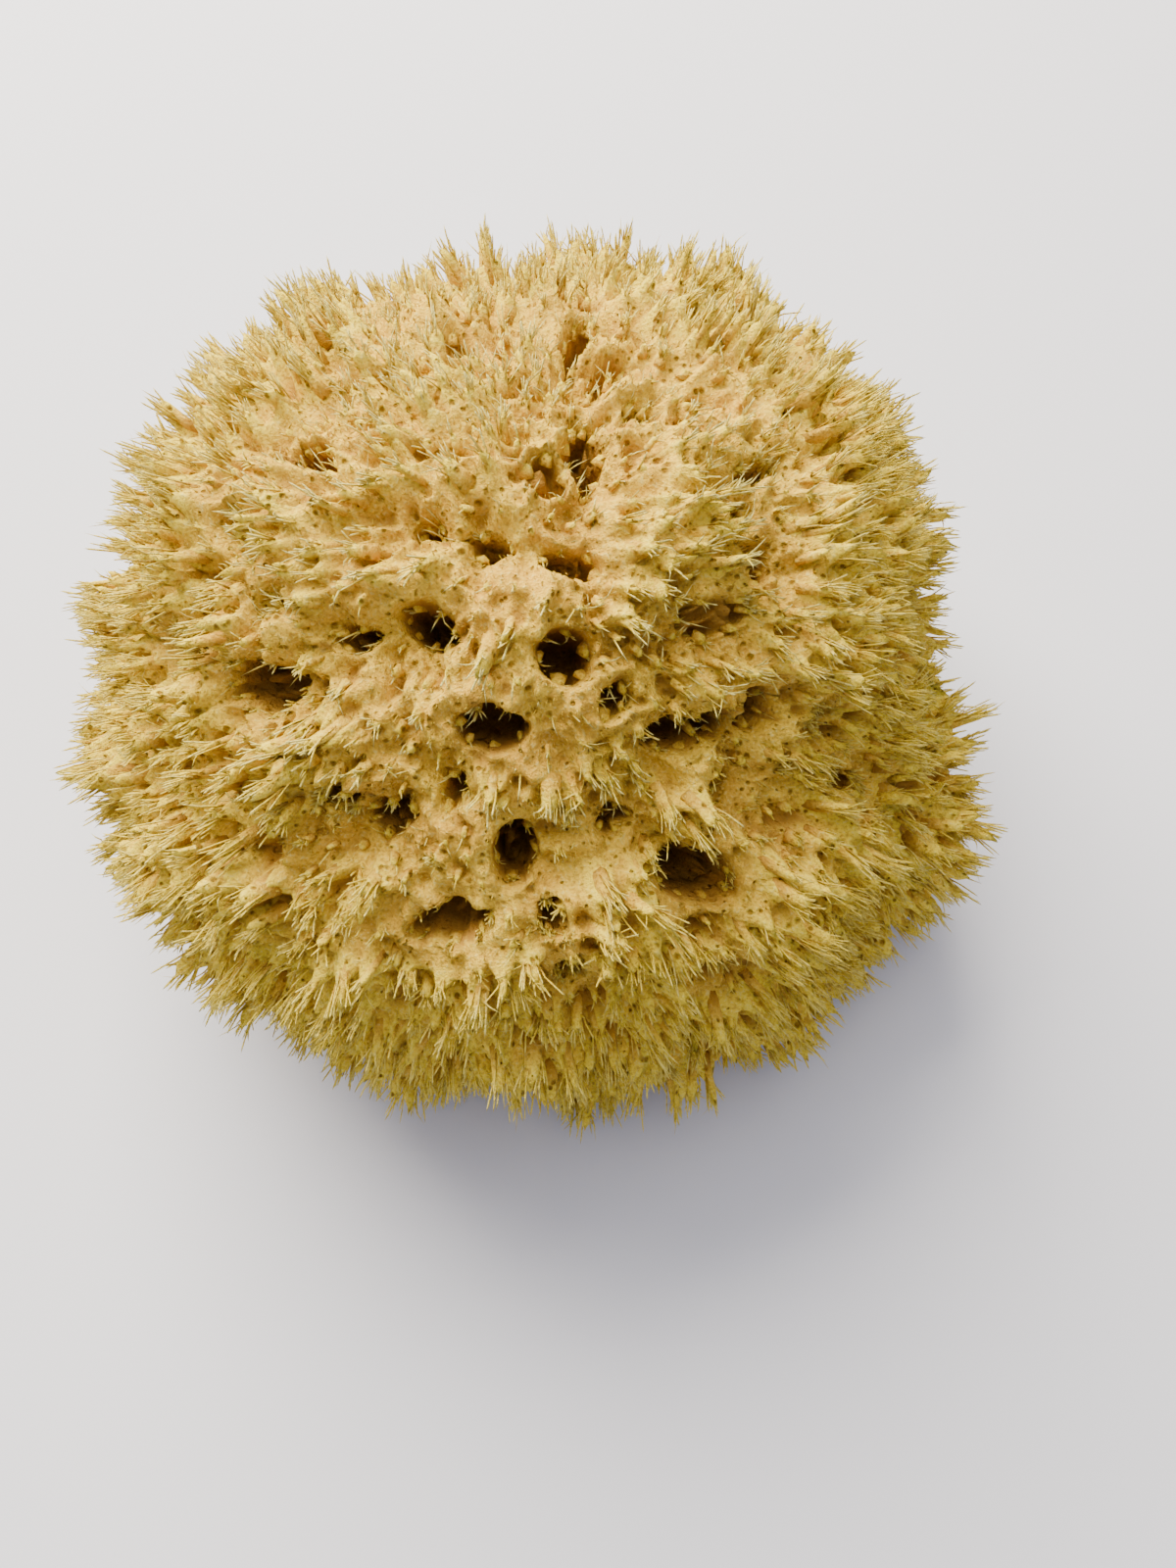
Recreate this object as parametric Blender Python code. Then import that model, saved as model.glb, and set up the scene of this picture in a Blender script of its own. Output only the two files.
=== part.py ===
import math
import random

import bmesh
import bpy
import numpy as np
from mathutils import Vector, noise

for thing in list(bpy.data.objects):
    bpy.data.objects.remove(thing, do_unlink=True)

# Driving sizes, in millimetres and degrees
MM = 0.001
HEART = np.array([2.0, -6.0, 50.0])
BLEND = 1.6
LOBES = (
    ((-1, 5, 55), (61, 55, 42)),
    ((-4, -7, 44), (63, 61, 40)),
    ((13, 27, 46), (50, 42, 38)),
    ((25, 5, 44), (40, 42, 34)),
    ((25, -16, 28), (51, 33, 27)),
    ((9, -29, 24), (51, 37, 24)),
    ((2, -6, 22), (58, 58, 34)),
)
LEDGE = [4, 5]
MASS = [0, 1, 2, 3, 6]
CREASE_DEPTH = 6.0
CREASE_WIDTH = 2.6
CREASE_FOOT = 10.0
SWELL = 4.0
SWELL_SPAN = 26.0
LUMP = 4.5
LUMP_SPAN = 11.0
SWELL_PLACE = (-247.0, 268.0, -238.0)
OVERHANG = 0.5
CLUMPING = 0.3
TUFT_SPACING = 4.4
CUT_SPACING = 13.0
FIELD_CENTRE = np.array([2.0, -9.0, 95.0])
FIELD_RADIUS = 24.0
FLANK_DISTANCE = 58.0
CROWN_TUFT = 5.2
FLANK_TUFT = 8.0
ROOT_TUFT = 2.5
ROOT_HEIGHT = 14.0
LEAN = 0.35
CROWN_LEAN = 0.9
COMB_START = 8.0
WANDER = 0.14
TUFT_SHARES = (0.9, 1.06)
VALLEY = 0.9
TIP_FLOOR = 0.6
VALLEY_FLOOR = 0.3
CUT_LEVEL = 0.01
RIM = 1.2
WALL = 0.55
DIP = 1.6
DIP_REACH = 2.4
LONG_OPENING = 1.6
END_PLACES = (-0.8, 0.8)
OPENING_GUARD = 0.5
RIM_STEP = 3.2
RIM_TUFT = 0.7
CLEAR_REACH = 3.4
CLEAR_TUFT = 0.5
CANDIDATES = 24000
JITTER = 0.8
SEED = 11

# Openings: bearing, rise, length, width, turn, depth, as seen from the heart
OPENINGS = (
    (-129, 63, 7.0, 5.6, 0, 13),
    (-98, 53, 6.6, 5.2, 165, 13),
    (-53, 40, 6.2, 4.6, 5, 11),
    (-43, 38, 5.0, 4.2, 150, 12),
    (-34, 34, 5.0, 4.4, 45, 12),
    (-60, 18, 9.4, 6.2, 170, 14),
    (-92, 31, 6.6, 4.6, 100, 13),
    (-86, 23, 3.6, 3.4, 115, 7),
    (-102, 20, 10.0, 3.8, 15, 9),
    (-127, 32, 4.4, 4.2, 35, 6),
    (-117, 31, 6.4, 4.6, 25, 7),
    (-105, 39, 4.2, 2.8, 40, 6),
    (-152, 36, 10.5, 7.0, 175, 7),
    (-170, 25, 9.0, 4.4, 175, 8),
    (-144, 53, 4.8, 3.4, 0, 8),
    (-163, 47, 3.8, 2.8, 175, 7),
    (178, 44, 4.6, 3.8, 155, 7),
    (162, 54, 11.0, 4.2, 145, 8),
    (-166, 73, 4.6, 2.8, 175, 9),
    (-127, 80, 6.0, 2.8, 170, 5),
    (42, 86, 4.8, 3.8, 90, 5),
    (-76, 64, 6.4, 4.6, 135, 12),
    (-65, 54, 3.6, 3.2, 170, 7),
    (-56, 77, 6.0, 3.6, 165, 6),
    (79, 49, 12.0, 4.0, 80, 8),
    (67, 54, 7.6, 4.6, 60, 9),
    (41, 50, 5.0, 3.4, 80, 9),
    (49, 53, 6.0, 4.0, 15, 4),
    (45, 77, 10.0, 4.6, 85, 8),
    (46, 65, 3.2, 2.8, 45, 5),
    (-6, 50, 5.8, 4.4, 175, 12),
    (4, 54, 4.2, 3.4, 40, 6),
    (46, 24, 11.0, 3.0, 80, 6),
    (17, 50, 10.0, 3.4, 35, 6),
    (-25, 26, 4.2, 2.8, 165, 8),
    (-28, 54, 8.0, 4.6, 20, 4),
    (-72, 32, 4.4, 2.6, 0, 6),
    (-49, 26, 5.0, 3.2, 25, 6),
    (115, 40, 9.0, 4.6, 95, 6),
    (111, 54, 5.8, 4.4, 95, 5),
    (-65, 3, 7.0, 3.6, 10, 9),
    (-84, 13, 4.6, 3.2, 95, 8),
    (-2, 11, 9.0, 3.6, 170, 9),
    (2, -10, 10.0, 5.0, 60, 9),
    (-27, 10, 6.4, 3.0, 170, 7),
    (96, 6, 8.0, 6.0, 20, 10),
    (128, -6, 6.0, 5.0, 60, 9),
    (160, 2, 6.0, 4.4, 130, 8),
    (62, -8, 6.4, 4.6, 40, 9),
    (-140, -12, 6.0, 4.6, 70, 8),
    (-176, -20, 5.6, 4.2, 20, 7),
    (100, -28, 5.6, 4.4, 10, 7),
)

# Bare patches of felt, where the tufts stay low: bearing, rise, radius
PATCHES = (
    (-117, 48, 8.5),
    (-104, 29, 6.5),
    (-84, 50, 5.0),
    (-118, 75, 5.0),
    (-56, 56, 6.0),
    (143, 76, 4.5),
    (-43, 19, 6.5),
    (-139, 48, 4.5),
    (-127, 23, 5.0),
    (-79, 35, 4.0),
    (-91, 40, 4.5),
    (-153, 60, 4.0),
)
PATCH_TUFT = 0.3


def unit(vectors):
    return vectors / np.maximum(np.linalg.norm(vectors, axis=1, keepdims=True), 1e-9)


def form(directions):
    """Points where rays from the heart leave the lobes, cut off flat at the rock."""
    reaches = []
    for centre, half in LOBES:
        half = np.array(half, float)
        ray = directions / half
        start = (HEART - np.array(centre, float)) / half
        a = (ray * ray).sum(1)
        b = (ray * start).sum(1)
        inside = np.maximum(b * b - a * (start @ start - 1), 0)
        reaches.append((np.sqrt(inside) - b) / a)
    reaches = np.array(reaches)
    longest = reaches.max(0)
    reach = longest + BLEND * np.log(np.exp((reaches - longest) / BLEND).sum(0))
    apart = reaches[LEDGE].max(0) - reaches[MASS].max(0)
    high = np.clip((HEART[2] + directions[:, 2] * reach) / CREASE_FOOT - 1, 0, 1)
    reach -= CREASE_DEPTH * high * np.exp(-((apart / CREASE_WIDTH) ** 2))
    downward = np.maximum(-directions[:, 2], 1e-6)
    reach = np.minimum(reach, HEART[2] / downward)
    return HEART + directions * reach[:, None]


def normals(directions):
    """Outward normals of the form, from two small steps along it."""
    step = 0.002
    side = unit(np.cross(directions, [0.0, 0.0, 1.0]))
    other = np.cross(directions, side)
    here = form(directions)
    along = form(unit(directions + step * side)) - here
    across = form(unit(directions + step * other)) - here
    found = unit(np.cross(along, across))
    return found * np.sign((found * directions).sum(1))[:, None]


def direction(bearing, rise):
    b, r = math.radians(bearing), math.radians(rise)
    flat = math.cos(r)
    return np.array([[flat * math.cos(b), flat * math.sin(b), math.sin(r)]])


# Where each opening sits, which way it runs in and how it lies
pits = []
for bearing, rise, length, width, turn, depth in OPENINGS:
    ray = direction(bearing, rise)
    centre, axis = form(ray)[0], normals(ray)[0]
    right = np.array([1.0, 0.0, 0.0]) - axis[0] * axis
    right /= np.linalg.norm(right)
    up = np.cross(axis, right)
    t = math.radians(turn)
    long_way = math.cos(t) * right + math.sin(t) * up
    short_way = np.cross(axis, long_way)
    pits.append((centre, axis, long_way, short_way, length / 2, width / 2, depth))


def waves(points, span):
    """Smooth random swells of this wavelength, between about -0.5 and 0.5."""
    return np.array([noise.noise(Vector(p / span)) for p in points + SWELL_PLACE])


def smooth(values):
    values = np.clip(values, 0, 1)
    return values * values * (3 - 2 * values)


def combed(points, outward):
    """The way along the surface, away from the field of openings, of the combing."""
    away = points - FIELD_CENTRE
    away -= outward * (away * outward).sum(1)[:, None]
    return away / np.maximum(np.linalg.norm(away, axis=1, keepdims=True), COMB_START)


def sculpt(points, outward):
    """The form with its swells and its openings, the flat cut left as it is."""
    above = np.clip(points[:, 2] / ROOT_HEIGHT, 0, 1)
    swell = SWELL * waves(points, SWELL_SPAN) + LUMP * waves(points, LUMP_SPAN)
    raising = outward + OVERHANG * combed(points, outward)
    shaped = points + raising * (swell * above)[:, None]
    for centre, axis, long_way, short_way, half_length, half_width, depth in pits:
        off = points - centre
        across = np.hypot(off @ long_way / half_length, off @ short_way / half_width)
        near = (np.abs(off @ axis) < depth) & (points[:, 2] > 0)
        sunk = depth * smooth((RIM - across) / WALL) + DIP * smooth(1 - across / DIP_REACH)
        shaped -= axis * (near * sunk)[:, None]
    return shaped


# Scatter the tufts over the form, openings first
rng = random.Random(SEED)
kept = []
guards = []
kinds = []
for centre, axis, long_way, short_way, half_length, half_width, depth in pits:
    stretch = half_length - half_width
    for place in END_PLACES if stretch > LONG_OPENING else (0.0,):
        kept.append(centre + long_way * stretch * place)
        guards.append(half_width * RIM + OPENING_GUARD)
        kinds.append("opening")
    rim_count = max(5, round(math.pi * (half_length + half_width) * RIM / RIM_STEP))
    for i in range(rim_count):
        angle = 2 * math.pi * i / rim_count
        spot = centre + RIM * half_length * math.cos(angle) * long_way
        spot = spot + RIM * half_width * math.sin(angle) * short_way
        if np.linalg.norm(np.array(kept) - spot, axis=1).min() > RIM_STEP / 2:
            kept.append(spot)
            guards.append(0.0)
            kinds.append("rim")

order = list(range(CANDIDATES))
rng.shuffle(order)
turn_step = math.pi * (1 + math.sqrt(5))
rays = []
for i in order:
    place = i + 0.5 + JITTER * (rng.random() - 0.5)
    height = 1 - 2 * place / CANDIDATES
    ring = math.sqrt(max(0.0, 1 - height * height))
    rays.append((ring * math.cos(turn_step * place), ring * math.sin(turn_step * place), height))
for point in form(unit(np.array(rays))):
    on_cut = point[2] < CUT_LEVEL
    space = CUT_SPACING if on_cut else TUFT_SPACING
    gaps = np.linalg.norm(np.array(kept) - point, axis=1)
    if (gaps > np.maximum(guards, space)).all():
        kept.append(point)
        guards.append(0.0)
        kinds.append("cut" if on_cut else "tuft")

# Join neighbouring places through the convex hull of their directions
spots = unit(np.array(kept) - HEART)
hull = bmesh.new()
for spot in spots:
    hull.verts.new(spot)
hull.verts.ensure_lookup_table()
bmesh.ops.convex_hull(hull, input=hull.verts)
bmesh.ops.recalc_face_normals(hull, faces=hull.faces)
hull.verts.index_update()
hull.faces.index_update()

# Tips stand up from the form, opening floors lie in it and valleys run between
outward = normals(spots)
base = form(spots)
tips = sculpt(base, outward)
distance = np.linalg.norm(base - FIELD_CENTRE, axis=1)
rim = smooth((distance - FIELD_RADIUS) / (FLANK_DISTANCE - FIELD_RADIUS))
tall = CROWN_TUFT + (FLANK_TUFT - CROWN_TUFT) * rim
root = np.clip(base[:, 2] / ROOT_HEIGHT, 0, 1)
tall = ROOT_TUFT + (tall - ROOT_TUFT) * root
wander = np.array([[rng.gauss(0, WANDER) for _ in range(3)] for _ in spots])
lean = CROWN_LEAN + (LEAN - CROWN_LEAN) * rim
way = unit(outward + lean[:, None] * combed(base, outward) + wander)
tall *= np.array([rng.uniform(*TUFT_SHARES) for _ in spots])
tall *= 1 + 2 * CLUMPING * waves(base, LUMP_SPAN)
for bearing, rise, radius in PATCHES:
    off = np.linalg.norm(base - form(direction(bearing, rise)), axis=1)
    tall *= np.where(off < radius, PATCH_TUFT, 1)
# Tufts stay short round an opening, so that it is seen from the side
cleared = np.ones(len(base))
for centre, axis, long_way, short_way, half_length, half_width, depth in pits:
    off = base - centre
    along = off @ long_way / (half_length + CLEAR_REACH)
    across = off @ short_way / (half_width + CLEAR_REACH)
    near = (np.abs(off @ axis) < depth) & (np.hypot(along, across) < 1)
    cleared[near] = CLEAR_TUFT
tall *= cleared
kinds = np.array(kinds)
tall[kinds == "rim"] *= RIM_TUFT
tall[(kinds == "opening") | (kinds == "cut")] = 0
tips += way * tall[:, None]
tips[:, 2] = np.maximum(tips[:, 2], TIP_FLOOR)
tips[kinds == "cut"] = base[kinds == "cut"]
tips[kinds == "cut", 2] = 0

middles = unit(np.array([sum((v.co for v in f.verts), Vector()) for f in hull.faces]))
floor = form(middles)
valleys = sculpt(floor, normals(middles))
valleys -= normals(middles) * VALLEY
on_cut = floor[:, 2] < CUT_LEVEL
valleys[:, 2] = np.where(on_cut, 0, np.maximum(valleys[:, 2], VALLEY_FLOOR))

corners = [Vector(p * MM) for p in np.vstack([tips, valleys])]
faces = []
for edge in hull.edges:
    loop = edge.link_loops[0]
    start = loop.vert.index
    end = loop.link_loop_next.vert.index
    left = len(spots) + loop.face.index
    right = len(spots) + edge.link_loops[1].face.index
    faces.append((start, right, left))
    faces.append((end, left, right))
hull.free()

mesh = bpy.data.meshes.new("sponge")
mesh.from_pydata(corners, [], faces)
mesh.update()
mesh.shade_smooth()
sponge = bpy.data.objects.new("sponge", mesh)
bpy.context.scene.collection.objects.link(sponge)

# Dry golden sponge fibre
fibre = bpy.data.materials.new("sponge_fibre")
fibre.use_nodes = True
shader = fibre.node_tree.nodes["Principled BSDF"]
shader.inputs["Base Color"].default_value = (0.61, 0.38, 0.10, 1)
shader.inputs["Roughness"].default_value = 0.9
shader.inputs["Metallic"].default_value = 0.0
mesh.materials.append(fibre)
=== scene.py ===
import math
import random

import bmesh
import bpy
import numpy as np
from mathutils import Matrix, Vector, kdtree, noise


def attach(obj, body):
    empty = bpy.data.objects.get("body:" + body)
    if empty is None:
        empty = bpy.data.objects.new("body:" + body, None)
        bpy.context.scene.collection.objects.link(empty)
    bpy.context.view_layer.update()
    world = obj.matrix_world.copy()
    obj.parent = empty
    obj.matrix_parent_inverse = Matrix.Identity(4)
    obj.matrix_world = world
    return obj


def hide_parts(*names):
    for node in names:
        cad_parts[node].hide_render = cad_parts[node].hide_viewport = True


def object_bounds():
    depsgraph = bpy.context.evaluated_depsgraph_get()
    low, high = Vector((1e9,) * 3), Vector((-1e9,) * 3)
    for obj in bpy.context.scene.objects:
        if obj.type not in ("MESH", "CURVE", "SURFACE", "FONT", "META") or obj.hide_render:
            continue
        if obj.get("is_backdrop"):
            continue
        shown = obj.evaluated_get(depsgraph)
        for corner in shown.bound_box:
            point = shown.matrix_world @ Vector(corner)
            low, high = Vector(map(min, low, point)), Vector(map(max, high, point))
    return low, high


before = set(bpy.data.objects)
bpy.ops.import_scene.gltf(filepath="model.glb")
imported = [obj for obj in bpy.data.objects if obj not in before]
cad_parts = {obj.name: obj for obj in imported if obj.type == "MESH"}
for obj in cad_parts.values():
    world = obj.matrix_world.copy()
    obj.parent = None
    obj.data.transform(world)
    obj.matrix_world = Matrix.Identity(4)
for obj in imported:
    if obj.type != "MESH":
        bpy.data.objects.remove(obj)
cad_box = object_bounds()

# Form of the sponge: a soft skeleton that grew outwards from its root on the rock,
# as one blended mass with lumps on it, a low ledge at the right and the front, and
# openings where the water left it. Every piece below lies on this form.
MM = 0.001
HEART = np.array([2.0, -6.0, 50.0])
BLEND = 1.6
LOBES = (
    ((-1, 5, 55), (61, 55, 42)),
    ((-4, -7, 44), (63, 61, 40)),
    ((13, 27, 46), (50, 42, 38)),
    ((25, 5, 44), (40, 42, 34)),
    ((25, -16, 28), (51, 33, 27)),
    ((9, -29, 24), (51, 37, 24)),
    ((2, -6, 22), (58, 58, 34)),
)
LEDGE = [4, 5]
MASS = [0, 1, 2, 3, 6]
CREASE_DEPTH = 6.0
CREASE_WIDTH = 2.6
CREASE_FOOT = 10.0
SWELL = 4.0
SWELL_SPAN = 26.0
LUMP = 4.5
LUMP_SPAN = 11.0
SWELL_PLACE = (-247.0, 268.0, -238.0)
OVERHANG = 0.5
FIELD_CENTRE = np.array([2.0, -9.0, 95.0])
COMB_START = 8.0
CUT_LEVEL = 0.01
ROOT_HEIGHT = 14.0
RIM = 1.2
WALL = 0.55
DIP = 1.6
DIP_REACH = 2.4
WIDER = 1.2
RAGGED = 1.0
RAGGED_SPAN = 3.4
OPENINGS = (
    (-129, 63, 7.0, 5.6, 0, 13),
    (-98, 53, 6.6, 5.2, 165, 13),
    (-53, 40, 6.2, 4.6, 5, 11),
    (-43, 38, 5.0, 4.2, 150, 12),
    (-34, 34, 5.0, 4.4, 45, 12),
    (-60, 18, 9.4, 6.2, 170, 14),
    (-92, 31, 6.6, 4.6, 100, 13),
    (-86, 23, 3.6, 3.4, 115, 7),
    (-102, 20, 10.0, 3.8, 15, 9),
    (-127, 32, 4.4, 4.2, 35, 6),
    (-117, 31, 6.4, 4.6, 25, 7),
    (-105, 39, 4.2, 2.8, 40, 6),
    (-152, 36, 10.5, 7.0, 175, 7),
    (-170, 25, 9.0, 4.4, 175, 8),
    (-144, 53, 4.8, 3.4, 0, 8),
    (-163, 47, 3.8, 2.8, 175, 7),
    (178, 44, 4.6, 3.8, 155, 7),
    (162, 54, 11.0, 4.2, 145, 8),
    (-166, 73, 4.6, 2.8, 175, 9),
    (-127, 80, 6.0, 2.8, 170, 5),
    (42, 86, 4.8, 3.8, 90, 5),
    (-76, 64, 6.4, 4.6, 135, 12),
    (-65, 54, 3.6, 3.2, 170, 7),
    (-56, 77, 6.0, 3.6, 165, 6),
    (79, 49, 12.0, 4.0, 80, 8),
    (67, 54, 7.6, 4.6, 60, 9),
    (41, 50, 5.0, 3.4, 80, 9),
    (49, 53, 6.0, 4.0, 15, 4),
    (45, 77, 10.0, 4.6, 85, 8),
    (46, 65, 3.2, 2.8, 45, 5),
    (-6, 50, 5.8, 4.4, 175, 12),
    (4, 54, 4.2, 3.4, 40, 6),
    (46, 24, 11.0, 3.0, 80, 6),
    (17, 50, 10.0, 3.4, 35, 6),
    (-25, 26, 4.2, 2.8, 165, 8),
    (-28, 54, 8.0, 4.6, 20, 4),
    (-72, 32, 4.4, 2.6, 0, 6),
    (-49, 26, 5.0, 3.2, 25, 6),
    (115, 40, 9.0, 4.6, 95, 6),
    (111, 54, 5.8, 4.4, 95, 5),
    (-65, 3, 7.0, 3.6, 10, 9),
    (-84, 13, 4.6, 3.2, 95, 8),
    (-2, 11, 9.0, 3.6, 170, 9),
    (2, -10, 10.0, 5.0, 60, 9),
    (-27, 10, 6.4, 3.0, 170, 7),
    (96, 6, 8.0, 6.0, 20, 10),
    (128, -6, 6.0, 5.0, 60, 9),
    (160, 2, 6.0, 4.4, 130, 8),
    (62, -8, 6.4, 4.6, 40, 9),
    (-140, -12, 6.0, 4.6, 70, 8),
    (-176, -20, 5.6, 4.2, 20, 7),
    (100, -28, 5.6, 4.4, 10, 7),
)

# Bare patches of felt, where the tufts stay low: bearing, rise, radius
PATCHES = (
    (-117, 48, 8.5),
    (-104, 29, 6.5),
    (-84, 50, 5.0),
    (-118, 75, 5.0),
    (-56, 56, 6.0),
    (143, 76, 4.5),
    (-43, 19, 6.5),
    (-139, 48, 4.5),
    (-127, 23, 5.0),
    (-79, 35, 4.0),
    (-91, 40, 4.5),
    (-153, 60, 4.0),
)
PATCH_TUFT = 0.3


def unit(vectors):
    return vectors / np.maximum(np.linalg.norm(vectors, axis=1, keepdims=True), 1e-9)


def form(directions):
    """Points where rays from the heart leave the lobes, cut off flat at the rock."""
    reaches = []
    for centre, half in LOBES:
        half = np.array(half, float)
        ray = directions / half
        start = (HEART - np.array(centre, float)) / half
        a = (ray * ray).sum(1)
        b = (ray * start).sum(1)
        inside = np.maximum(b * b - a * (start @ start - 1), 0)
        reaches.append((np.sqrt(inside) - b) / a)
    reaches = np.array(reaches)
    longest = reaches.max(0)
    reach = longest + BLEND * np.log(np.exp((reaches - longest) / BLEND).sum(0))
    apart = reaches[LEDGE].max(0) - reaches[MASS].max(0)
    high = np.clip((HEART[2] + directions[:, 2] * reach) / CREASE_FOOT - 1, 0, 1)
    reach -= CREASE_DEPTH * high * np.exp(-((apart / CREASE_WIDTH) ** 2))
    downward = np.maximum(-directions[:, 2], 1e-6)
    reach = np.minimum(reach, HEART[2] / downward)
    return HEART + directions * reach[:, None]


def normals(directions):
    """Outward normals of the form, from two small steps along it."""
    step = 0.002
    side = unit(np.cross(directions, [0.0, 0.0, 1.0]))
    other = np.cross(directions, side)
    here = form(directions)
    along = form(unit(directions + step * side)) - here
    across = form(unit(directions + step * other)) - here
    found = unit(np.cross(along, across))
    return found * np.sign((found * directions).sum(1))[:, None]


def direction(bearing, rise):
    b, r = math.radians(bearing), math.radians(rise)
    flat = math.cos(r)
    return np.array([[flat * math.cos(b), flat * math.sin(b), math.sin(r)]])


pits = []
for bearing, rise, length, width, turn, depth in OPENINGS:
    ray = direction(bearing, rise)
    centre, axis = form(ray)[0], normals(ray)[0]
    right = np.array([1.0, 0.0, 0.0]) - axis[0] * axis
    right /= np.linalg.norm(right)
    up = np.cross(axis, right)
    t = math.radians(turn)
    long_way = math.cos(t) * right + math.sin(t) * up
    short_way = np.cross(axis, long_way)
    pits.append((centre, axis, long_way, short_way, length / 2, width / 2, depth))


def waves(points, span):
    """Smooth random swells of this wavelength, between about -0.5 and 0.5."""
    return np.array([noise.noise(Vector(p / span)) for p in points + SWELL_PLACE])


def smooth(values):
    values = np.clip(values, 0, 1)
    return values * values * (3 - 2 * values)


def pressed(points):
    """How far each point is pressed in by an opening, as a shift and as a depth."""
    shift = np.zeros_like(points)
    inside = np.zeros(len(points))
    for centre, axis, long_way, short_way, half_length, half_width, depth in pits:
        off = points - centre
        across = np.hypot(off @ long_way / half_length, off @ short_way / half_width) / WIDER
        near = (np.abs(off @ axis) < depth) & (points[:, 2] > 0)
        fall = depth * near * smooth((RIM - across) / WALL)
        shift -= axis * (fall + DIP * near * smooth(1 - across / DIP_REACH))[:, None]
        inside = np.maximum(inside, fall)
    return shift, inside


def combed(points, outward):
    """The way along the surface, away from the field of openings, of the combing."""
    away = points - FIELD_CENTRE
    away -= outward * (away * outward).sum(1)[:, None]
    return away / np.maximum(np.linalg.norm(away, axis=1, keepdims=True), COMB_START)


def sculpt(points, outward):
    above = np.clip(points[:, 2] / ROOT_HEIGHT, 0, 1)
    swell = SWELL * waves(points, SWELL_SPAN) + LUMP * waves(points, LUMP_SPAN)
    raising = outward + OVERHANG * combed(points, outward)
    return points + raising * (swell * above)[:, None]


# Tufts: where the skeleton's stiffer threads push its skin up into points, each one
# frayed like a brush. They stand 4 to 5 mm apart, low on the crown and long on the
# flanks, and lean outwards from the field of openings. Small ones fill the gaps.
TUFT_SPACING = 4.4
CUT_SPACING = 13.0
FIELD_RADIUS = 24.0
FLANK_DISTANCE = 58.0
CROWN_TUFT = 5.2
FLANK_TUFT = 8.0
ROOT_TUFT = 2.5
LEAN = 0.35
CROWN_LEAN = 0.9
WANDER = 0.14
TUFT_SHARES = (0.9, 1.06)
CLUMPING = 0.38
TALLEST = 8.4
LONG_OPENING = 1.6
END_PLACES = (-0.8, 0.8)
OPENING_GUARD = 0.5
RIM_STEP = 3.2
RIM_TUFT = 0.7
CLEAR_REACH = 4.0
CLEAR_BEHIND = 2.4
CLEAR_TUFT = 0.36
CANDIDATES = 24000
JITTER = 0.8
SEED = 11
SMALL_SPACING = 2.7
SMALL_SHARES = (0.6, 0.98)

rng = random.Random(SEED)
kept = []
guards = []
kinds = []
for centre, axis, long_way, short_way, half_length, half_width, depth in pits:
    stretch = half_length - half_width
    for place in END_PLACES if stretch > LONG_OPENING else (0.0,):
        kept.append(centre + long_way * stretch * place)
        guards.append(half_width * RIM + OPENING_GUARD)
        kinds.append("opening")
    rim_count = max(5, round(math.pi * (half_length + half_width) * RIM / RIM_STEP))
    for i in range(rim_count):
        angle = 2 * math.pi * i / rim_count
        spot = centre + RIM * half_length * math.cos(angle) * long_way
        spot = spot + RIM * half_width * math.sin(angle) * short_way
        if np.linalg.norm(np.array(kept) - spot, axis=1).min() > RIM_STEP / 2:
            kept.append(spot)
            guards.append(0.0)
            kinds.append("rim")

order = list(range(CANDIDATES))
rng.shuffle(order)
turn_step = math.pi * (1 + math.sqrt(5))
rays = []
for i in order:
    place = i + 0.5 + JITTER * (rng.random() - 0.5)
    height = 1 - 2 * place / CANDIDATES
    ring = math.sqrt(max(0.0, 1 - height * height))
    rays.append((ring * math.cos(turn_step * place), ring * math.sin(turn_step * place), height))
candidates = form(unit(np.array(rays)))
for point in candidates:
    on_cut = point[2] < CUT_LEVEL
    space = CUT_SPACING if on_cut else TUFT_SPACING
    gaps = np.linalg.norm(np.array(kept) - point, axis=1)
    if (gaps > np.maximum(guards, space)).all():
        kept.append(point)
        guards.append(0.0)
        kinds.append("cut" if on_cut else "tuft")


def stand(spots):
    """Foot, outward normal, leaning way and height of the tuft at each of these rays."""
    outward = normals(spots)
    base = form(spots)
    distance = np.linalg.norm(base - FIELD_CENTRE, axis=1)
    rim = smooth((distance - FIELD_RADIUS) / (FLANK_DISTANCE - FIELD_RADIUS))
    tall = CROWN_TUFT + (FLANK_TUFT - CROWN_TUFT) * rim
    root = np.clip(base[:, 2] / ROOT_HEIGHT, 0, 1)
    tall = ROOT_TUFT + (tall - ROOT_TUFT) * root
    wander = np.array([[rng.gauss(0, WANDER) for _ in range(3)] for _ in spots])
    lean = CROWN_LEAN + (LEAN - CROWN_LEAN) * rim
    way = unit(outward + lean[:, None] * combed(base, outward) + wander)
    tall *= np.array([rng.uniform(*TUFT_SHARES) for _ in spots])
    tall *= 1 + 2 * CLUMPING * waves(base, LUMP_SPAN)
    for bearing, rise, radius in PATCHES:
        off = np.linalg.norm(base - form(direction(bearing, rise)), axis=1)
        tall *= np.where(off < radius, PATCH_TUFT, 1)
    # Tufts stay short round an opening, so that it is seen from the side
    cleared = np.ones(len(base))
    for centre, axis, long_way, short_way, half_length, half_width, depth in pits:
        off = base - centre
        clear = CLEAR_REACH + (CLEAR_BEHIND if centre[1] > 0 else 0)
        along = off @ long_way / (half_length + clear)
        across = off @ short_way / (half_width + clear)
        near = (np.abs(off @ axis) < depth) & (np.hypot(along, across) < 1)
        cleared[near] = CLEAR_TUFT
    tall *= cleared
    return base, outward, way, tall, rim


kinds = np.array(kinds)
spots = unit(np.array(kept) - HEART)
base, outward, way, tall, rim = stand(spots)
tall[kinds == "rim"] *= RIM_TUFT
main = (kinds == "tuft") | (kinds == "rim")

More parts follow.
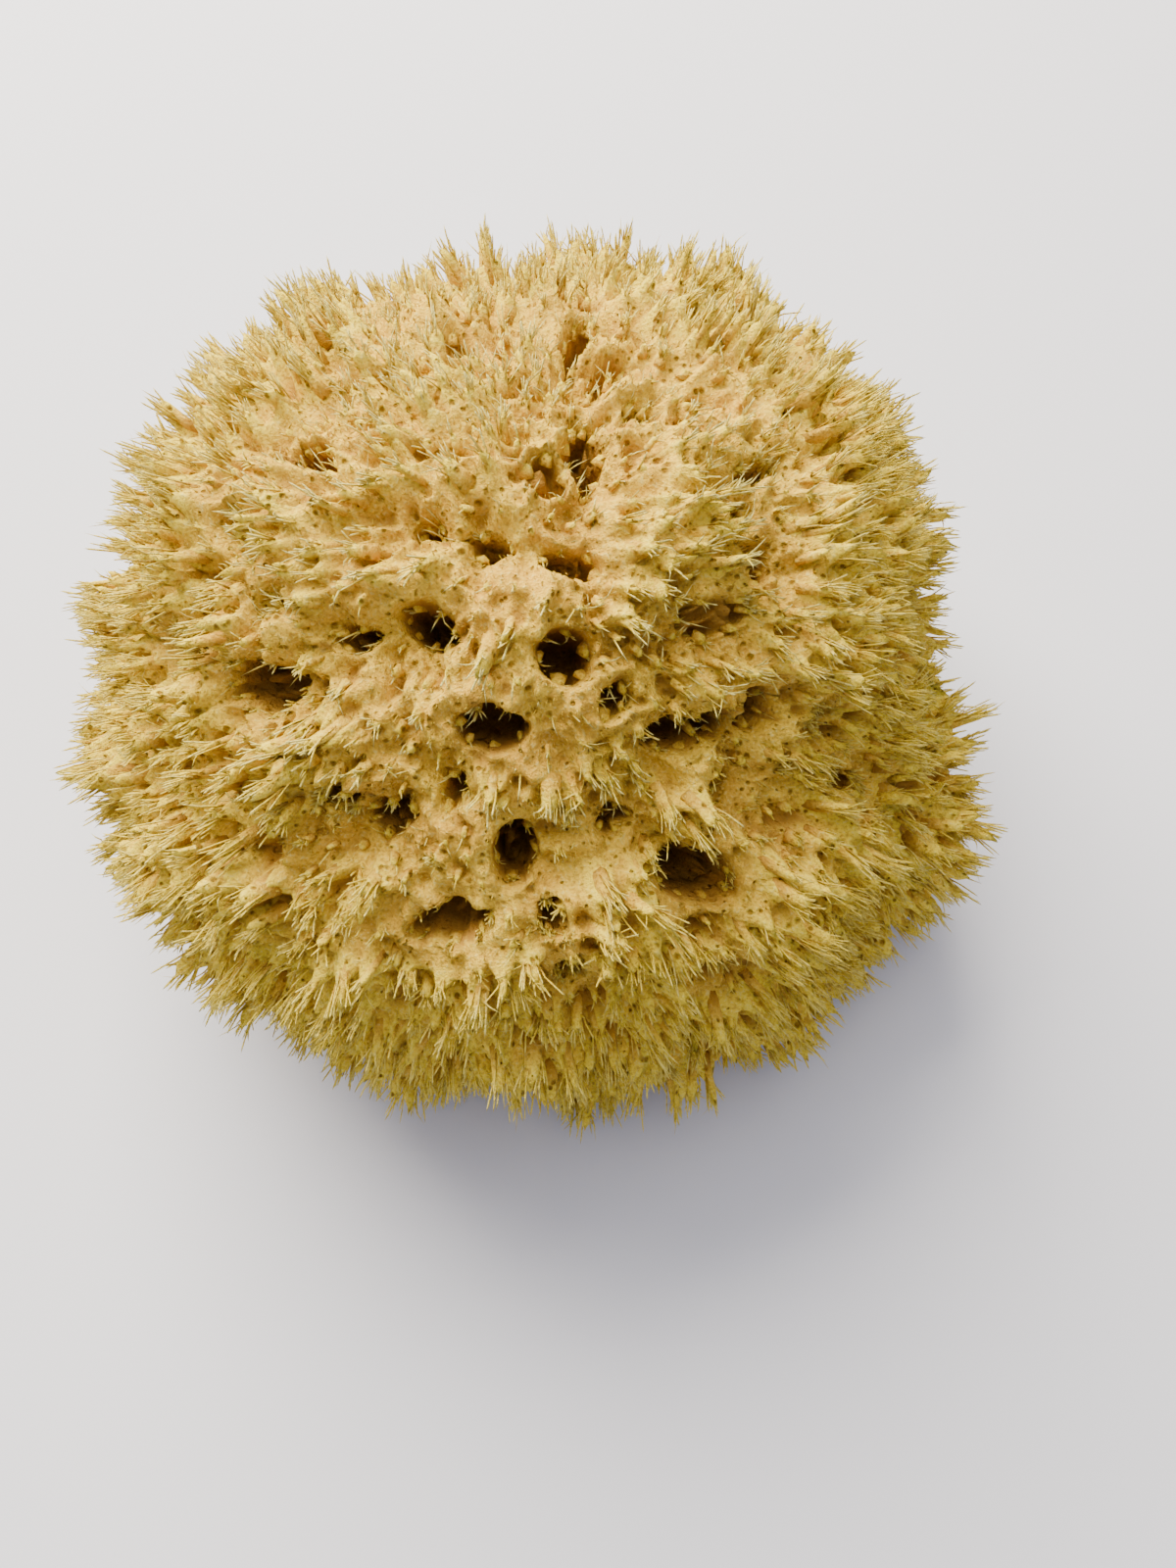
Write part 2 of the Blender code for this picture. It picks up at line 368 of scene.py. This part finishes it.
# The small tufts between them
finder = kdtree.KDTree(len(kept) + len(candidates))
for i, point in enumerate(kept):
    finder.insert(point, i)
finder.balance()
rng.shuffle(order)
small = []
_, hollow = pressed(candidates)
taken = {}


def cell(point):
    return tuple(int(c // SMALL_SPACING) for c in point)


for i in order:
    point = candidates[i]
    if point[2] < 1.0 or hollow[i] > 0.5 or finder.find(point)[2] < SMALL_SPACING:
        continue
    home = cell(point)
    near = [
        other
        for dx in (-1, 0, 1)
        for dy in (-1, 0, 1)
        for dz in (-1, 0, 1)
        for other in taken.get((home[0] + dx, home[1] + dy, home[2] + dz), ())
    ]
    if all(np.linalg.norm(other - point) > SMALL_SPACING for other in near):
        taken.setdefault(home, []).append(point)
        small.append(point)
small_base, small_outward, small_way, small_tall, small_rim = stand(unit(np.array(small) - HEART))
small_tall *= np.array([rng.uniform(*SMALL_SHARES) for _ in small])

feet = np.vstack([base[main], small_base])
ways = np.vstack([way[main], small_way])
heights = np.minimum(np.concatenate([tall[main], small_tall]), TALLEST)
rims = np.concatenate([rim[main], small_rim])
ground = sculpt(feet, np.vstack([outward[main], small_outward])) + pressed(feet)[0]
low = ground + ways * heights[:, None]
heights *= np.where(low[:, 2] < 0.6, np.clip((ground[:, 2] - 0.6) / 3, 0.1, 1), 1)

# Felt body: the fine springy fibre of the skeleton, matted to a skin that is folded,
# pitted with small pores and drawn up into a skirt round the foot of each tuft. It is
# golden straw outside, with painted shade in amber and umber down in its hollows and openings.
FELT_CUTS = 127
CROWN_SHARE = 0.3
FOLD = 1.2
FOLD_SPAN = 6.0
WRINKLE = 0.4
WRINKLE_SPAN = 2.6
SKIRT_RADIUS = 3.1
SKIRT_SHARE = 0.76
SKIRT_CURVE = 1.5
RIDGE_WIDTH = 1.3
RIDGE_SHARE = 0.34
PARTITION = 0.5
PARTITION_SPAN = 3.2
PORES = 700
PORE_WIDTH = (1.2, 2.6)
CUT_PORES = 210
CUT_PORE_WIDTH = (2.0, 6.5)
STRAW = "#FEE14A"
HONEY = "#FAD048"
GOLD = "#EAB742"
AMBER_SHADE = "#C08E3C"
UMBER_SHADE = "#AC7C34"
CREAM = "#FFF096"
PORE_SHADE = "#8E6418"


def linear(code):
    """Linear colour of an sRGB hex value."""
    parts = [int(code[i : i + 2], 16) / 255 for i in (1, 3, 5)]
    return [p / 12.92 if p < 0.04045 else ((p + 0.055) / 1.055) ** 2.4 for p in parts] + [1]


def add(tree, kind, inputs=None, **settings):
    """A node with its settings; an input is a value or the socket that feeds it."""
    made = tree.nodes.new(kind)
    for name, value in settings.items():
        setattr(made, name, value)
    for name, value in (inputs or {}).items():
        if isinstance(value, bpy.types.NodeSocket):
            tree.links.new(value, made.inputs[name])
        else:
            made.inputs[name].default_value = value
    return made


def mixed(tree, share, first, second):
    """Colour between two others, each a socket or a colour."""
    mix = add(tree, "ShaderNodeMix", data_type="RGBA")
    for place, value in ((0, share), (6, first), (7, second)):
        if isinstance(value, bpy.types.NodeSocket):
            tree.links.new(value, mix.inputs[place])
        else:
            mix.inputs[place].default_value = value
    return mix.outputs[2]


def graded(tree, value, low, high, most=1.0):
    """Value brought smoothly from between low and high to between 0 and the most."""
    grade = add(
        tree,
        "ShaderNodeMapRange",
        {"Value": value, "From Min": low, "From Max": high, "To Max": most},
        interpolation_type="SMOOTHSTEP",
    )
    return grade.outputs["Result"]


def mottle(tree, place, size, detail):
    """Noise whose lumps are about this many millimetres across."""
    settings = {"Vector": place, "Scale": 1 / (size * MM), "Detail": detail, "Roughness": 0.6}
    return add(tree, "ShaderNodeTexNoise", settings).outputs["Fac"]


def fibre_material(name, felted):
    """Dry spongin fibre: matt and soft; felted or in strands."""
    material = bpy.data.materials.new(name)
    material.use_nodes = True
    tree = material.node_tree
    shader = tree.nodes["Principled BSDF"]
    place = add(tree, "ShaderNodeTexCoord").outputs["Object"]
    marks = add(tree, "ShaderNodeAttribute", attribute_name="growth_and_shade").outputs["Color"]
    marks = add(tree, "ShaderNodeSeparateColor", {"Color": marks})
    tip, lot, hollow_shade = marks.outputs[0], marks.outputs[1], marks.outputs[2]
    grain = mottle(tree, place, 0.6, 6.0)
    colour = mixed(tree, graded(tree, mottle(tree, place, 9, 3.0), 0.35, 0.65), linear(GOLD), linear(HONEY))
    colour = mixed(tree, graded(tree, tip, 0.0, 0.35), colour, linear(STRAW))
    colour = mixed(tree, graded(tree, lot, 0.5, 1.0, 0.5), colour, linear(CREAM))
    # Painted shade in the low places of the fibre grain, and painted highlight on its high places, from the
    # same noise as the bump
    colour = mixed(tree, graded(tree, grain, 0.52, 0.34, 0.65), colour, linear(AMBER_SHADE))
    colour = mixed(tree, graded(tree, grain, 0.52, 0.68, 0.5), colour, linear(CREAM))
    colour = mixed(tree, graded(tree, tip, 0.4, 1.0), colour, linear(CREAM))
    bump = add(
        tree,
        "ShaderNodeBump",
        {"Height": grain, "Distance": 0.9 * MM, "Strength": 1.0},
    )
    if felted:
        spots = add(
            tree,
            "ShaderNodeTexVoronoi",
            {"Vector": place, "Scale": 1 / (1.7 * MM), "Randomness": 1.0},
        ).outputs["Distance"]
        reach = add(
            tree,
            "ShaderNodeMapRange",
            {
                "Value": mottle(tree, place, 6, 1.0),
                "From Min": 0.32,
                "From Max": 0.62,
                "To Min": 0.08,
                "To Max": 0.36,
            },
        ).outputs["Result"]
        dip = add(tree, "ShaderNodeMath", {0: spots, 1: reach}, operation="DIVIDE").outputs[0]
        # Painted shade: darker colour in the middle of each small pore, where the bump sinks in
        colour = mixed(tree, graded(tree, dip, 1.1, 0.3, 0.9), colour, linear(PORE_SHADE))
        bump = add(
            tree,
            "ShaderNodeBump",
            {
                "Height": graded(tree, dip, 0.3, 1.1),
                "Distance": 0.6 * MM,
                "Strength": 0.8,
                "Normal": bump.outputs["Normal"],
            },
        )
    # Painted shade: amber, then umber, the farther down a point lies in a hollow, opening or pore
    colour = mixed(tree, graded(tree, hollow_shade, 0.0, 0.5), colour, linear(AMBER_SHADE))
    colour = mixed(tree, graded(tree, hollow_shade, 0.45, 1.0), colour, linear(UMBER_SHADE))
    tree.links.new(colour, shader.inputs["Base Color"])
    tree.links.new(bump.outputs["Normal"], shader.inputs["Normal"])
    shader.inputs["Roughness"].default_value = 0.95
    shader.inputs["Specular IOR Level"].default_value = 0.08
    return material


def set_growth(mesh, tip, lot, hollow_shade):
    """Store how near a tip, how pale and how far down in a hollow each point is; the last sets painted
    shade.
    """
    values = np.ones((len(mesh.vertices), 4), np.float32)
    values[:, 0], values[:, 1], values[:, 2] = tip, lot, hollow_shade
    store = mesh.attributes.new("growth_and_shade", "FLOAT_COLOR", "POINT")
    store.data.foreach_set("color", values.ravel())


def finished(piece_name, mesh, material):
    mesh.materials.append(material)
    mesh.shade_smooth()
    piece = bpy.data.objects.new(piece_name, mesh)
    bpy.context.scene.collection.objects.link(piece)
    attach(piece, "root")
    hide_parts("sponge")
    return piece


def finder_of(points):
    finder = kdtree.KDTree(len(points))
    for i, point in enumerate(points):
        finder.insert(point, i)
    finder.balance()
    return finder


felt = bmesh.new()
bmesh.ops.create_cube(felt, size=2)
bmesh.ops.subdivide_edges(felt, edges=felt.edges, cuts=FELT_CUTS, use_grid_fill=True)
mesh = bpy.data.meshes.new("felt_body")
felt.to_mesh(mesh)
felt.free()
grid = np.empty(len(mesh.vertices) * 3)
mesh.vertices.foreach_get("co", grid)
edges = np.empty(len(mesh.edges) * 2, int)
mesh.edges.foreach_get("vertices", edges)
one, two = edges.reshape(-1, 2).T
rays = unit(np.tan(grid.reshape(-1, 3) * math.pi / 4))
rays = unit(rays + [0, 0, CROWN_SHARE])
points = form(rays)
out = normals(rays)
on_cut = points[:, 2] < CUT_LEVEL
above = np.clip(points[:, 2] / ROOT_HEIGHT, 0, 1)
jog = np.array([noise.noise_vector(Vector(p / RAGGED_SPAN)) for p in points])
shift, inside = pressed(points + RAGGED * jog)
walls = smooth((0.16 - np.abs(waves(points + jog, PARTITION_SPAN))) / 0.12)
shift *= (1 - PARTITION * walls)[:, None]
folds = FOLD * (0.7 - 4 * np.abs(waves(points + 2 * jog + 37.0, FOLD_SPAN)))
folds += WRINKLE * (0.7 - 4 * np.abs(waves(points + jog + 71.0, WRINKLE_SPAN)))
rise = folds * np.clip(above * 4, 0, 1)
# Painted shade: the farther inside an opening, the darker the colour
hollow_shade = smooth(inside / 9)

# Pores a millimetre or two across, and wider ones on the cut, where canals open, each given painted shade at
# its bottom
pore_rng = random.Random(SEED + 1)
pore_rays = unit(np.array([[pore_rng.gauss(0, 1) for _ in range(3)] for _ in range(PORES)]))
pore_points = form(unit(pore_rays + [0, 0, CROWN_SHARE]))
finder = finder_of(points)
for centre in pore_points:
    width = pore_rng.uniform(*PORE_WIDTH)
    if centre[2] < 2:
        continue
    for _, i, gap in finder.find_range(centre, width * 0.75):
        fall = smooth(np.array([1.4 - gap * (1 + 0.5 * jog[i, 0]) / width * 2]))[0]
        rise[i] -= width * 0.6 * fall
        hollow_shade[i] = max(hollow_shade[i], 0.35 * fall)
cut_radius = np.hypot(points[on_cut, 0], points[on_cut, 1]).max()
for _ in range(CUT_PORES):
    width = pore_rng.uniform(*CUT_PORE_WIDTH)
    bearing, away = pore_rng.uniform(-math.pi, math.pi), cut_radius * math.sqrt(pore_rng.random())
    centre = (away * math.cos(bearing), away * math.sin(bearing), 0)
    for _, i, gap in finder.find_range(centre, width * 0.7):
        if on_cut[i]:
            fall = smooth(np.array([1.3 - gap * (1 + 0.6 * jog[i, 0]) / width * 2]))[0]
            rise[i] = min(rise[i], -width * 0.6 * fall)
            hollow_shade[i] = max(hollow_shade[i], 0.8 * fall)
skin = sculpt(points, out) + out * rise[:, None] + shift

# Skirts round the tufts, and ridges that join each tuft to the next
tuft_finder = finder_of(feet)
nearest = np.array([[(hit[1], hit[2]) for hit in tuft_finder.find_n(p, 3)] for p in points])
who = nearest[:, :, 0].astype(int)
gaps = nearest[:, :, 1]
reach = SKIRT_RADIUS * (0.45 + 0.55 * np.minimum(1, heights[who] / 6))
skirts = heights[who] * SKIRT_SHARE * np.maximum(0, 1 - gaps / reach) ** SKIRT_CURVE
best = skirts.argmax(1)
raised = skirts[np.arange(len(points)), best]
pull = ways[who[np.arange(len(points)), best]]
for other in (1, 2):
    a, b = feet[who[:, 0]], feet[who[:, other]]
    joined = (who[:, 0] * 7 + who[:, other] * 7 + who[:, 0] * who[:, other]) % 5 > 1
    span = b - a
    along = np.clip(((points - a) * span).sum(1) / (span * span).sum(1), 0, 1)
    gap = np.linalg.norm(points - a - span * along[:, None], axis=1)
    lower = np.minimum(heights[who[:, 0]], heights[who[:, other]])
    ridge = joined * lower * RIDGE_SHARE * np.maximum(0, 1 - gap / RIDGE_WIDTH)
    higher = ridge > raised
    raised = np.where(higher, ridge, raised)
    pull = np.where(higher[:, None], unit(ways[who[:, 0]] + ways[who[:, other]]), pull)
raised = np.where(on_cut, 0, raised * (1 - smooth(inside / 6)))
skin += pull * raised[:, None]
skin[:, 2] = np.where(on_cut, np.maximum(-rise, 0), np.maximum(skin[:, 2], 0.2))

# How far each point lies below the skin round it, which sets the painted shade in its hollows
level = ((skin - points) * out).sum(1)
around = level.copy()
degree = np.bincount(one, minlength=len(points)) + np.bincount(two, minlength=len(points))
for _ in range(40):
    passed = np.bincount(one, around[two], len(points)) + np.bincount(two, around[one], len(points))
    around = passed / degree
below = np.where(on_cut, 0, around - level)
hollow_shade = np.maximum(hollow_shade, 0.75 * smooth((below + 0.2) / 4.2))
tip = np.clip(raised / 9, 0, 0.6)
mesh.vertices.foreach_set("co", (skin * MM).ravel())
mesh.update()
set_growth(mesh, tip, 0.3, hollow_shade)
felt_fibre = fibre_material("felted_spongin", felted=True)
finished("sponge_felt_body", mesh, felt_fibre)

# Tuft horns: the flattened, fluted point in the middle of each large tuft, where the
# skin's fibres are drawn together. They bend a little and pale towards their tip.
HORN_SIDES = 6
HORN_RINGS = (0.4, 0.8)
HORN_FOOT = 1.85
HORN_END = 1.0
HORN_FLAT = 0.55
FLUTE = 0.32


def spike(sides, rings=()):
    """A unit spike along +Z as arrays, ringed at these shares of it: points, triangles."""
    cone = bmesh.new()
    bmesh.ops.create_cone(cone, cap_ends=True, segments=sides, radius1=1, radius2=0, depth=1)
    bmesh.ops.translate(cone, vec=(0, 0, 0.5), verts=cone.verts)
    bmesh.ops.remove_doubles(cone, verts=cone.verts, dist=1e-5)
    for height in rings:
        bmesh.ops.bisect_plane(
            cone,
            geom=cone.verts[:] + cone.edges[:] + cone.faces[:],
            plane_co=(0, 0, height),
            plane_no=(0, 0, 1),
        )
    bmesh.ops.triangulate(cone, faces=cone.faces)
    bmesh.ops.recalc_face_normals(cone, faces=cone.faces)
    cone.verts.index_update()
    corners = np.array([v.co for v in cone.verts])
    triangles = np.array([[v.index for v in f.verts] for f in cone.faces])
    cone.free()
    return corners, triangles


def grow(shape, start, heading, length, foot, end, bend, flat=1.0, flute=0.0, wide=None):
    """Many bent, tapering copies of a spike, as one set of points and triangles."""
    corners, triangles = shape
    t = corners[None, :, 2:3]
    if wide is None:
        wide = np.cross(heading, [[0.31, 0.52, 0.79]])
    wide = unit(wide - heading * (wide * heading).sum(1)[:, None])
    thin = np.cross(heading, wide) * flat
    angle = np.arctan2(corners[:, 1], corners[:, 0])
    on_rim = np.hypot(corners[:, 0], corners[:, 1]) > 1e-5
    sides = (corners[:, 2] < 1e-5).sum()
    ripple = (1 + flute * np.cos(angle * sides / 2)) * on_rim
    thick = (foot[:, None, None] * (1 - t) + end[:, None, None] * t) * ripple[None, :, None]
    ring = np.cos(angle)[None, :, None] * wide[:, None] + np.sin(angle)[None, :, None] * thin[:, None]
    spine = start[:, None] + heading[:, None] * length[:, None, None] * t + bend[:, None] * t * t
    points = spine + ring * thick
    faces = triangles[None] + (np.arange(len(start)) * len(corners))[:, None, None]
    along = np.broadcast_to(corners[None, :, 2], points.shape[:2])
    return points.reshape(-1, 3), faces.reshape(-1, 3), along.reshape(-1), len(corners)


def mesh_of(name, points, faces):
    mesh = bpy.data.meshes.new(name)
    points = points.copy()
    points[:, 2] = np.maximum(points[:, 2], 0.15)
    mesh.from_pydata((points * MM).tolist(), [], faces.tolist())
    mesh.update()
    return mesh


strand_rng = np.random.default_rng(SEED)
count = len(feet)
large = np.arange(count) < main.sum()
big = np.clip(heights / FLANK_TUFT, 0.25, 1.1)
tuft_bend = strand_rng.normal(0, 0.13, (count, 3)) * heights[:, None]
tuft_wide = unit(np.cross(ways, strand_rng.normal(0, 1, (count, 3))))
tuft_thin = np.cross(ways, tuft_wide)
strand_fibre = fibre_material("loose_spongin_strands", felted=False)
stout = (0.5 + 0.5 * big) * strand_rng.uniform(0.8, 1.2, count) * np.where(large, 1, 0.8)
points, faces, along, each = grow(
    spike(HORN_SIDES, HORN_RINGS),
    ground - ways * 0.6,
    ways,
    heights * 0.84 + 0.8,
    HORN_FOOT * stout,
    HORN_END * stout,
    tuft_bend,
    HORN_FLAT,
    FLUTE,
    tuft_wide,
)
mesh = mesh_of("tuft_horns", points, faces)
# Painted shade near the foot of the horns on the flanks, down among the tufts
set_growth(mesh, 0.5 * along**2, 0.3, np.repeat(rims, each) * 0.45 * (1 - along) ** 2)
print("tufts", count, large.sum(), "horn triangles", len(faces))
finished("sponge_tuft_horns", mesh, felt_fibre)

# Brushes: each tuft is a flat bundle of springy strands, 0.3 to 0.4 mm thick, that rise
# side by side from the felt, spread like the hairs of a worn paintbrush and curl.
BRUSH_CROWN = 8
BRUSH_FLANK = 14
BRUSH_SMALL = 5
LOW_TUFT = 1.8
BRUSH_RADIUS = 0.18
FAN = 2.1
REGIONS = {
    "crown": lambda p: p[:, 2] > 80,
    "left": lambda p: (p[:, 0] < 2) & (np.abs(p[:, 0] - 2) >= np.abs(p[:, 1])),
    "right": lambda p: (p[:, 0] >= 2) & (np.abs(p[:, 0] - 2) >= np.abs(p[:, 1])),
    "front": lambda p: p[:, 1] < 0,
    "back": lambda p: p[:, 1] >= 0,
}
region_of = np.select([holds(ground) for holds in REGIONS.values()], range(len(REGIONS)))
brush = np.where(large, np.round(BRUSH_CROWN + (BRUSH_FLANK - BRUSH_CROWN) * rims), BRUSH_SMALL)
brush = np.where(heights < LOW_TUFT, 1, brush)
owner = np.repeat(np.arange(count), brush.astype(int))
lot = len(owner)
spread = strand_rng.uniform(-1, 1, (lot, 2))
foot_size = (0.45 + 0.8 * big)[owner]
fan_size = FAN * (0.35 + 0.65 * big)[owner]
start = ground[owner] + ways[owner] * (heights[owner] * strand_rng.uniform(0.05, 0.5, lot))[:, None]
start += tuft_wide[owner] * (spread[:, 0] * foot_size * 0.8)[:, None]
start += tuft_thin[owner] * (spread[:, 1] * foot_size * 0.5)[:, None]
tall_enough = heights[owner] * strand_rng.uniform(0.84, 1.0, lot) + 0.5
finish = ground[owner] + ways[owner] * tall_enough[:, None]
finish += tuft_wide[owner] * (spread[:, 0] * fan_size)[:, None]
finish += tuft_thin[owner] * (spread[:, 1] * fan_size * 0.4)[:, None]
finish += strand_rng.normal(0, 0.35, (lot, 3))
length = np.linalg.norm(finish - start, axis=1)
bend = 0.6 * tuft_bend[owner] + strand_rng.normal(0, 0.3, (lot, 3)) * np.minimum(length, 2.4)[:, None]
thick = BRUSH_RADIUS * strand_rng.uniform(0.7, 1.25, lot)
pale = strand_rng.uniform(0, 1, lot)
for place, region in enumerate(REGIONS):
    chosen = region_of[owner] == place
    points, faces, along, each = grow(
        spike(3, (0.5, 0.92)),
        start[chosen],
        unit(finish - start)[chosen],
        length[chosen],
        thick[chosen],
        thick[chosen] * 0.75,
        bend[chosen],
    )
    mesh = mesh_of("brushes_" + region, points, faces)
    shade = 1 - 0.3 * np.repeat(rims[owner[chosen]], each)
    # Painted shade near the foot of each strand, down among the tufts
    set_growth(mesh, shade * (0.2 + 0.8 * along**1.5), np.repeat(pale[chosen], each), 0.4 * (1 - along) ** 2)
    print("brush triangles", region, len(faces))
    finished("sponge_brushes_" + region, mesh, strand_fibre)

# Fibre ends: pale curled strands that leave the tufts near their tips at wider angles.
ENDS_LARGE = 5
ENDS_SMALL = 2
END_RADIUS = 0.165
END_LENGTH = (1.5, 3.6)
ends = np.where(large, ENDS_LARGE + 2 * (1 - rims), ENDS_SMALL) * np.where(heights < LOW_TUFT, 0.5, 1)
owner = np.repeat(np.arange(count), ends.astype(int))
lot = len(owner)
part_way = strand_rng.uniform(0.45, 0.9, lot)
fan = strand_rng.uniform(-1, 1, lot)
start = ground[owner] + ways[owner] * (heights[owner] * part_way * 0.9)[:, None]
start += tuft_bend[owner] * (part_way**2)[:, None]
start += tuft_wide[owner] * (fan * (0.4 + 0.6 * big)[owner] * FAN * 0.6)[:, None]
heading = unit(ways[owner] + tuft_wide[owner] * (fan * 0.5)[:, None] + strand_rng.normal(0, 0.28, (lot, 3)))
length = strand_rng.uniform(*END_LENGTH, lot) * (0.6 + 0.4 * big[owner])
bend = strand_rng.normal(0, 0.5, (lot, 3)) * (length * (1.1 - 0.5 * rims[owner]))[:, None]
thick = END_RADIUS * strand_rng.uniform(0.7, 1.2, lot) * (1 - 0.2 * rims[owner])
pale = strand_rng.uniform(0.3, 1, lot)
for place, region in enumerate(REGIONS):
    chosen = region_of[owner] == place
    points, faces, along, each = grow(
        spike(3, (0.6,)),
        start[chosen],
        heading[chosen],
        length[chosen],
        thick[chosen],
        thick[chosen] * 0.7,
        bend[chosen],
    )
    mesh = mesh_of("fibre_ends_" + region, points, faces)
    shade = 1 - 0.3 * np.repeat(rims[owner[chosen]], each)
    set_growth(mesh, (0.4 + 0.6 * along) * shade, np.repeat(pale[chosen], each), 0)
    print("end triangles", region, len(faces))
    finished("sponge_fibre_ends_" + region, mesh, strand_fibre)

# Fuzz: the finest fibre that stands off the felt everywhere, about a millimetre long,
# which gives the sponge its soft look. It is combed the way of the nearest tuft.
FUZZ = 21000
FUZZ_LENGTH = (0.7, 1.8)
FUZZ_RADIUS = 0.11
fuzz_rng = np.random.default_rng(SEED + 5)
picks = fuzz_rng.choice(np.where((skin[:, 2] > 1.5) & (inside < 3))[0], FUZZ)
heading = unit(out[picks] + 0.6 * pull[picks] + fuzz_rng.normal(0, 0.4, (FUZZ, 3)))
points, faces, along, each = grow(
    spike(3),
    skin[picks] - heading * 0.2 + fuzz_rng.normal(0, 0.25, (FUZZ, 3)),
    heading,
    fuzz_rng.uniform(*FUZZ_LENGTH, FUZZ),
    np.full(FUZZ, FUZZ_RADIUS),
    np.full(FUZZ, FUZZ_RADIUS),
    np.zeros((FUZZ, 3)),
)
mesh = mesh_of("fuzz", points, faces)
pale = np.repeat(fuzz_rng.uniform(0, 0.8, FUZZ), each)
# The fuzz takes on the painted shade of the felt it stands on
set_growth(mesh, np.repeat(tip[picks], each) + 0.4 * along, pale, np.repeat(hollow_shade[picks], each) * 0.8)
print("fuzz triangles", len(faces))
finished("sponge_fuzz", mesh, strand_fibre)

# Floor, light and camera: a pale sheet, soft daylight from behind on the left and a view
# that looks steeply down from the front, as a phone held over the sponge sees it.
FLOOR = "#DADAEA"
SKY = "#DCE4FA"
DAYLIGHT = "#FEF6DC"
floor_mesh = bpy.data.meshes.new("floor")
sheet = bmesh.new()
bmesh.ops.create_grid(sheet, x_segments=1, y_segments=1, size=3)
bmesh.ops.translate(sheet, vec=(0, 0, -0.0003), verts=sheet.verts)
sheet.to_mesh(floor_mesh)
sheet.free()
paper = bpy.data.materials.new("matt_paper")
paper.use_nodes = True
paper.node_tree.nodes["Principled BSDF"].inputs["Base Color"].default_value = linear(FLOOR)
paper.node_tree.nodes["Principled BSDF"].inputs["Roughness"].default_value = 0.9
floor_mesh.materials.append(paper)
floor = bpy.data.objects.new("floor", floor_mesh)
bpy.context.scene.collection.objects.link(floor)
floor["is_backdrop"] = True

world = bpy.data.worlds.new("soft_sky")
world.use_nodes = True
world.node_tree.nodes["Background"].inputs["Color"].default_value = linear(SKY)
world.node_tree.nodes["Background"].inputs["Strength"].default_value = 0.56
bpy.context.scene.world = world


def window(name, place, aim, size, power):
    light = bpy.data.lights.new(name, "AREA")
    light.shape = "SQUARE"
    light.size = size
    light.energy = power
    light.color = linear(DAYLIGHT)[:3]
    lamp = bpy.data.objects.new(name, light)
    lamp.location = place
    lamp.rotation_euler = (Vector(aim) - Vector(place)).to_track_quat("-Z", "Y").to_euler()
    bpy.context.scene.collection.objects.link(lamp)


window("daylight", (-0.42, 0.74, 0.8), (0, 0, 0.04), 1.0, 61)
window("fill", (0.0, 0.1, 1.1), (0, 0, 0.04), 0.9, 7)

CAMERA_PITCH = 65.0
CAMERA_PLACE = (10.40, -106.60, 221.97)
eye = bpy.data.cameras.new("camera")
eye.sensor_width = 36
eye.lens = 27.05
camera = bpy.data.objects.new("camera", eye)
camera.location = [c * MM for c in CAMERA_PLACE]
camera.rotation_euler = (math.radians(90 - CAMERA_PITCH), 0, 0)
bpy.context.scene.collection.objects.link(camera)
bpy.context.scene.camera = camera

for box in (cad_box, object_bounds()):
    print([list(map(float, corner)) for corner in box])
